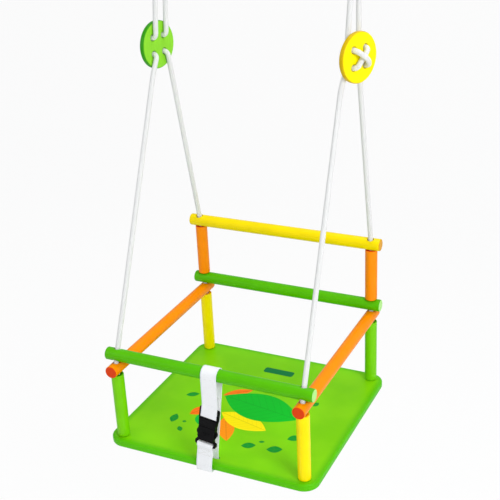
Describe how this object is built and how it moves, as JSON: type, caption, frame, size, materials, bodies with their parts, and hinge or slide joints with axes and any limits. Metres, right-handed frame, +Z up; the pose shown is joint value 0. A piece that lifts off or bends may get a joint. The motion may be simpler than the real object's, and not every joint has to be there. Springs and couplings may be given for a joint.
{
  "type": "toddler bucket swing",
  "caption": "Wooden toddler bucket swing: painted seat board with a post and rail frame threaded on ropes, button rope stops, crotch strap with side-release buckle and hanging rings.",
  "frame": {"origin": "on the swing axis, midway between the two hanging rings", "axes": "+Z up, +X along the front rail to the sitter's left, +Y towards the back rest"},
  "size_m": [0.3524, 0.3313, 0.767],
  "materials": {
    "lime_board": "gloss paint",
    "green_paint": "gloss paint",
    "yellow_paint": "gloss paint",
    "orange_paint": "gloss paint",
    "green_button": "gloss paint",
    "yellow_button": "gloss paint",
    "white_rope": "smooth braid",
    "white_webbing": "woven",
    "black_plastic": "fine grain",
    "steel": "zinc plated"
  },
  "bodies": {
    "hangers": {"ring_left": "steel", "ring_right": "steel"},
    "seat": {"seat_board": "lime_board", "post_front_left": "green_paint", "post_front_right": "yellow_paint", "post_back_left": "yellow_paint", "post_back_right": "green_paint", "side_rail_left": "orange_paint", "side_rail_right": "orange_paint", "rear_rail": "green_paint", "top_rail": "yellow_paint", "upper_post_left": "orange_paint", "upper_post_right": "orange_paint", "knot_front_left": "white_rope", "knot_front_right": "white_rope", "knot_back_left": "white_rope", "knot_back_right": "white_rope", "button_left": "green_button", "button_right": "yellow_button", "rope_left": "white_rope", "rope_right": "white_rope", "thimble_left": "steel", "thimble_right": "steel", "strap_rear": "white_webbing", "strap_under": "white_webbing", "strap_lower": "white_webbing", "buckle_female": "black_plastic"},
    "front_rail": {"front_rail": "green_paint", "strap_wrap": "white_webbing", "strap_front": "white_webbing"},
    "buckle_half": {"buckle_male": "black_plastic", "strap_adjuster": "white_webbing"},
    "prong_left": {"prong_left": "black_plastic"},
    "prong_right": {"prong_right": "black_plastic"}
  },
  "joints": [
    {"name": "swing", "type": "hinge", "parent": "hangers", "child": "seat", "pos_m": [0, 0, 0], "axis": [1, 0, 0], "range_deg": [-45, 45]},
    {"name": "front_rail_lift", "type": "slide", "parent": "seat", "child": "front_rail", "axis": [0, 0.3259, 0.9454], "range_m": [0, 0.036], "deforming": ["strap_rear", "strap_front", "prong_left", "prong_right"]},
    {"name": "buckle_draw", "type": "slide", "parent": "front_rail", "child": "buckle_half", "axis": [0.2368, -0.2933, 0.9262], "range_m": [0, 0.036], "deforming": ["strap_front", "prong_left", "prong_right"]},
    {"name": "prong_right_squeeze", "type": "hinge", "parent": "buckle_half", "child": "prong_right", "pos_m": [0.01387, -0.16417, -0.65382], "axis": [0.0026, 0.9998, -0.0178], "range_deg": [0, 15], "stiffness_Nm_per_rad": 0.05},
    {"name": "prong_left_squeeze", "type": "hinge", "parent": "buckle_half", "child": "prong_left", "pos_m": [-0.00141, -0.16409, -0.65189], "axis": [-0.0026, -0.9998, 0.0178], "range_deg": [0, 15], "stiffness_Nm_per_rad": 0.05}
  ],
  "couplings": [
    {"joint": "buckle_draw", "follows": "front_rail_lift", "ratio": 1},
    {"joint": "prong_left_squeeze", "follows": "prong_right_squeeze", "ratio": 1}
  ]
}
